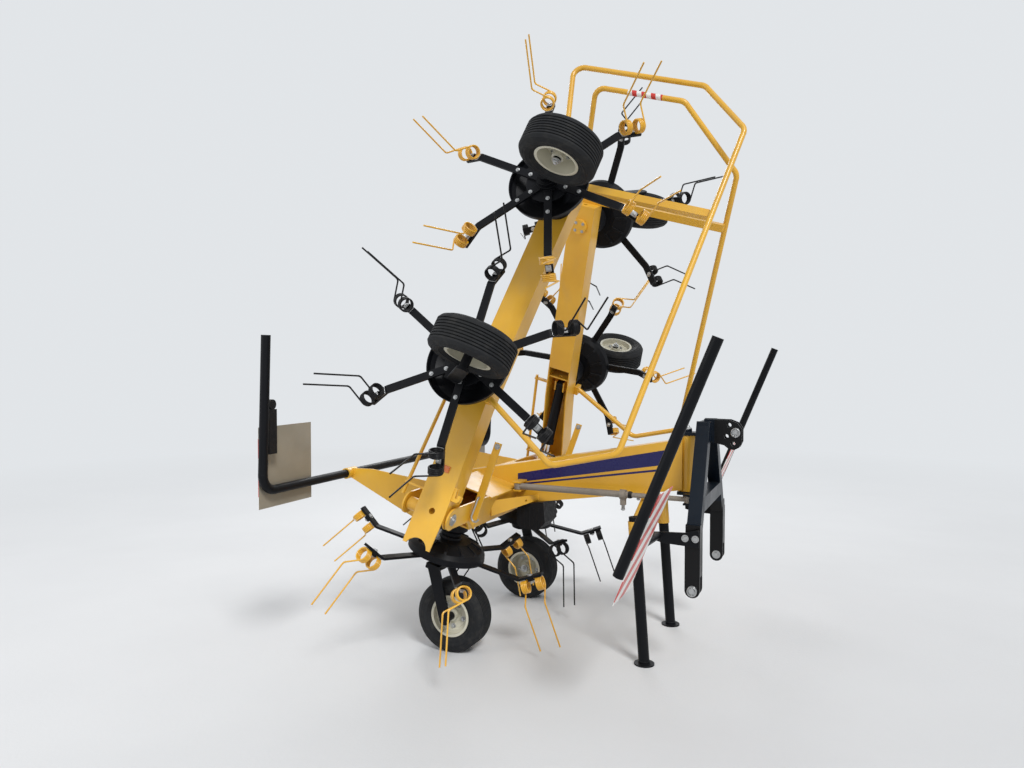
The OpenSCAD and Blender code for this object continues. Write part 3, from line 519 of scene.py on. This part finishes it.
def shod(material, shader):
    """Satin black below the posts and on the top link plates, in place of the navy."""
    where = add(material, "TexCoord")
    parts = add(material, "SeparateXYZ", {0: where.outputs["Object"]})
    shoe = add(material, "Math", {0: parts.outputs["Z"], 1: SHOE_TOP}, operation="LESS_THAN")
    ahead = add(material, "Math", {0: parts.outputs["X"], 1: PLATES_FROM}, operation="GREATER_THAN")
    above = add(material, "Math", {0: parts.outputs["Z"], 1: PLATES_LOW}, operation="GREATER_THAN")
    plates = product(material, ahead.outputs[0], above.outputs[0])
    dark = add(material, "Math", {0: shoe.outputs[0], 1: plates}, operation="MAXIMUM")
    before = shader.inputs["Base Color"].links[0].from_socket
    tone = mixed(material, dark.outputs[0], before, SHOE_BLACK)
    material.node_tree.links.new(tone, shader.inputs["Base Color"])


navy = painted("navy_coat", (0.0038, 0.0080, 0.0150), (0.0028, 0.0058, 0.0110), 0.34, 0.03,
               coat=0.04, shine=0.18)
shod(navy, navy.node_tree.nodes["Principled BSDF"])
dress(navy, "headstock")
caps = bmesh.new()
lathe(caps, Matrix.Translation(KINGPIN_TOP), KINGPIN_CAP)
for s in (1, 2):
    for x in (0.905, 0.957):
        bolt(caps, side(s) @ aim((x, 0.4634, 0.734), (0, 1, 0)), 0.0125, 0.012)
piece("headstock_bolts", caps, zinc, "headstock")

# Pins, struts and ram rods
# Zinc plated turned pins with washers and linch pins, dulled strut tubes that each
# carry a seal collar and a sprung clamp bolt, and ground, chromed ram rods.
PIN_ENDS = (
    (0.94, 0.451, 0.463, 0.014, 1),
    (0.94, 0.369, 0.463, 0.014, -1),
    (1.10, 0.039, 1.255, 0.0127, 1),
)
STRUT = Matrix.Translation((-0.165, 0.14, 0.89)) @ Matrix.Rotation(math.atan2(0.06, 1.038), 4, "Z")
CLAMP_ALONG = 0.667
SEAL_ALONG = 0.7
COLLAR = ((0.0143, 0), (0.0205, 0), (0.0205, 0.012), (0.0175, 0.02), (0.0143, 0.02), (0.0143, 0))
SHANK = ((0, 0), (0.005, 0), (0.005, 0.028), (0, 0.028))
SPRING_TURNS = 5
SPRING_PITCH = 0.0046
SPRING_RADIUS = 0.0095
dull = plated("dull_tube", (0.30, 0.26, 0.215), (0.20, 0.175, 0.15), 0.50, 0.35)
chrome = plated("ground_rod", (0.75, 0.76, 0.78), (0.66, 0.67, 0.69), 0.14, 1.0)
dress(zinc, "link_pins")
linches = bmesh.new()
for s in (1, 2):
    for x, y, z, radius, out in PIN_ENDS:
        rim = radius + 0.011
        washer = [(radius, 0), (rim, 0), (rim, 0.003), (radius, 0.003), (radius, 0)]
        lathe(linches, side(s) @ aim((x, y, z), (0, out, 0)), washer)
        if out > 0:
            shank = [Vector((x, y + 0.010, z + rise)) for rise in (-0.030, 0, 0.021)]
            sweep(linches, [side(s) @ point for point in shank], 0.0045)
            pull_ring(linches, side(s) @ Matrix.Translation((x, y + 0.010, z + 0.019)), 0.023)
piece("linch_pins", linches, zinc, "headstock")
dress(dull, "strut_tube_1", "strut_tube_2", "strut_rod_1", "strut_rod_2")
dress(chrome, "ram_rod_1", "ram_rod_2")
for s in (1, 2):
    strut = side(s) @ STRUT
    collar = bmesh.new()
    lathe(collar, strut @ aim((SEAL_ALONG, 0, 0), (1, 0, 0)), COLLAR)
    piece(f"strut_seal_{s}", collar, moulded, f"strut_tube_{s}")
    sprung = bmesh.new()
    coil = []
    for k in range(12 * SPRING_TURNS + 1):
        turned = math.tau * k / 12
        across = SPRING_RADIUS * math.cos(turned)
        coil.append((CLAMP_ALONG + across, SPRING_RADIUS * math.sin(turned), -0.061 - SPRING_PITCH * k / 12))
    sweep(sprung, [strut @ Vector(point) for point in coil], 0.0014)
    bolt(sprung, strut @ aim((CLAMP_ALONG, 0, -0.084), (0, 0, -1)), 0.0085, 0.009)
    lathe(sprung, strut @ aim((CLAMP_ALONG, 0, -0.058), (0, 0, -1)), SHANK, 16)
    piece(f"strut_spring_{s}", sprung, zinc, f"strut_tube_{s}")

# Rotor fasteners
# Two plated bolts hold each arm under its dish. One more, through two small clamp
# plates, holds a double tine on the arm's raised end.
CENTRE_HUB = 0.55
ARM_BOLTS = (0.112, 0.196)
ARM_BEND = Matrix.Translation((0.45, 0, -0.322)) @ Matrix.Rotation(math.radians(-34), 4, "Y")
CLAMP_REACH = 0.071
ROTORS = ((1, 0, 7.5), (2, 0, 37.5), (1, 1, 22.5), (2, 1, -7.5), (1, 2, 7.5), (2, 2, 37.5))


def hub(n):
    """Frame of a rotor: its axle is Z, and the ground is on the minus Z side."""
    s, k, _ = ROTORS[n - 1]
    if k == 0:
        return DECK @ side(s) @ Matrix.Translation((0, CENTRE_HUB, 0))
    return wing(s) @ Matrix.Translation((0, WING_HUBS[k - 1], 0))


for n in range(1, 7):
    phase = ROTORS[n - 1][2]
    fasteners = bmesh.new()
    for i in range(6):
        arm = hub(n) @ Matrix.Rotation(math.radians(180 - phase - 60 * i), 4, "Z")
        for reach in ARM_BOLTS:
            bolt(fasteners, arm @ Matrix.Translation((reach, 0, -0.3292)) @ FLIP, 0.0078, 0.009)
        arm_end = arm @ ARM_BEND
        clamp = arm_end @ Matrix.Translation((CLAMP_REACH, 0, 0))
        bolt(fasteners, clamp @ Matrix.Translation((0, 0, 0.0071)), 0.0105, 0.009)
        slab(fasteners, arm_end @ Matrix.Translation((0.024, 0, -0.0085)), (0.034, 0.041, 0.0035), 0.001)
        slab(fasteners, clamp @ Matrix.Translation((0, 0, -0.0235)), (0.034, 0.030, 0.0025), 0.001)
        bolt(fasteners, clamp @ Matrix.Translation((0, 0, -0.0248)) @ FLIP, 0.0095, 0.011)
    piece(f"rotor_bolts_{n}", fasteners, zinc, f"rotor_{n}")

# Tines
# Spring wire wound in double coils and dipped in enamel, yellow on three of the
# rotors and black on the others.
spring_yellow = painted("yellow_enamel", (0.78, 0.42, 0.02), (0.62, 0.31, 0.015), 0.30, 0.20, coat=0.4)
spring_black = painted("black_enamel", (0.006, 0.006, 0.007), (0.010, 0.010, 0.011), 0.36, 0.04,
                       coat=0.0, shine=0.2)
dress(spring_yellow, "tines_1", "tines_4", "tines_5")
dress(spring_black, "tines_2", "tines_3", "tines_6")

# Ground wheels
# Ribbed rubber tyres on pressed steel rims in cream enamel, each bolted through its
# rim and held on a stub axle by a nut.
AXLE = Matrix.Translation((0.15, 0, -0.6386)) @ Matrix.Rotation(-math.pi / 2, 4, "X")
RUBBER_TONES = ((0.0125, 0.0135, 0.0155), (0.020, 0.0205, 0.021))
RUBBER_DUST = (0.12, 0.11, 0.095)
VALVE = ((0.094, 0, 0.02), (0.093, 0, 0), (0.089, 0, -0.018), (0.086, 0, -0.028))
BEADS = ((0.1615, 0.0822), (0.1425, 0.0762), (0.176, 0.0798))
BEAD_SHAPE = ((-0.003, -0.003), (-0.001, 0.0015), (0.001, 0.0015), (0.003, -0.003), (-0.003, -0.003))
STUD = ((0, 0.010), (0.0085, 0.010), (0.0085, 0.02), (0.006, 0.023), (0, 0.023))
rubber, rubber_shader = fresh("rubber", {"Specular IOR Level": 0.2})
rubber_tone = mixed(rubber, patches(rubber, 6, 0.35, 0.75), *RUBBER_TONES)
rubber_worn = product(rubber, patches(rubber, 22, 0.52, 0.8), 0.18)
rubber_tone = mixed(rubber, rubber_worn, rubber_tone, RUBBER_DUST)
finish_surface(rubber, rubber_shader, rubber_tone,
               ranged(rubber, patches(rubber, 12, 0.3, 0.7), 0.62, 0.82),
               patches(rubber, 420, 0.3, 0.7), 0.0004)
dress(rubber, *[f"tyre_{n}" for n in range(1, 7)])
cream = painted("cream_enamel", (0.60, 0.575, 0.46), (0.50, 0.475, 0.375), 0.38, 0.25)
dress(cream, *[f"rim_{n}" for n in range(1, 7)])
for n in range(1, 7):
    s, k, _ = ROTORS[n - 1]
    wheel = hub(n) @ AXLE
    nuts = bmesh.new()
    for i in range(5):
        turn = Matrix.Rotation(math.tau * i / 5, 4, "Z")
        bolt(nuts, wheel @ turn @ Matrix.Translation((0.069, 0, 0.014)) @ FLIP, 0.0095, 0.012)
        bolt(nuts, wheel @ turn @ Matrix.Translation((0.066, 0, 0.020)), 0.0095, 0.012)
    piece(f"wheel_bolts_{n}", nuts, zinc, f"wheel_{n}")
    beads = bmesh.new()
    for face in (1, -1):
        for radius, height in BEADS:
            lathe(beads, wheel, [(radius + r, face * (height + h)) for r, h in BEAD_SHAPE], 72)
    sweep(beads, [wheel @ Vector(point) for point in VALVE], 0.0045)
    piece(f"tyre_beads_{n}", beads, rubber, f"wheel_{n}")
    ends = bmesh.new()
    free_end = wheel @ (Matrix.Identity(4) if k == 1 else FLIP) @ Matrix.Translation((0, 0, 0.0588))
    bolt(ends, free_end, 0.0165, 0.014)
    lathe(ends, free_end, STUD, 16)
    piece(f"axle_nut_{n}", ends, zinc, "frame" if k == 0 else f"wing_{s}")

# Warning boards
# Sheet steel squares at the back and long boards at the front: plain grey
# backs, and red and white slanting bands on the faces that traffic sees.
BAND_PITCH = 0.141
BACK_GREYS = ((0.27, 0.24, 0.185), (0.31, 0.275, 0.215))


def board_finish(name, across, along, plain_side):
    """Bands by two directions in the board's plane; the side that faces plain_side stays grey."""
    material, shader = fresh(name, {"Coat Weight": 0.2})
    where = add(material, "TexCoord")
    slant = (Vector(across) + Vector(along)).normalized()
    run = add(material, "VectorMath", {0: where.outputs["Object"], 1: slant}, operation="DOT_PRODUCT")
    wave = product(material, run.outputs["Value"], 1 / BAND_PITCH)
    part = add(material, "Math", {0: wave}, operation="FRACT")
    band = add(material, "Math", {0: part.outputs[0], 1: 0.5}, operation="GREATER_THAN")
    bands = mixed(material, band.outputs[0], BAND_RED, BAND_WHITE)
    surface = add(material, "NewGeometry")
    turned = add(material, "VectorMath", {0: surface.outputs["True Normal"], 1: plain_side},
                 operation="DOT_PRODUCT")
    back = add(material, "Math", {0: turned.outputs["Value"], 1: 0.3}, operation="GREATER_THAN")
    grey = mixed(material, patches(material, 7, 0.35, 0.7), *BACK_GREYS)
    tone = mixed(material, back.outputs[0], bands, grey)
    tone = mixed(material, product(material, patches(material, 16, 0.55, 0.8), 0.3), tone, DUST)
    rough = ranged(material, patches(material, 20, 0.3, 0.7), 0.3, 0.5)
    finish_surface(material, shader, tone, rough, patches(material, 240, 0.3, 0.7), 0.0001)
    return material


rear_face = board_finish("rear_board_face", (0, 1, 0), (0, 0, 1), (1, 0, 0))
dress(rear_face, "rear_boards")
front_face = board_finish("front_board_face", (0, -1, 0), (0.37, 0, 0.93), (-0.93, 0, 0.37))
dress(front_face, "front_boards")
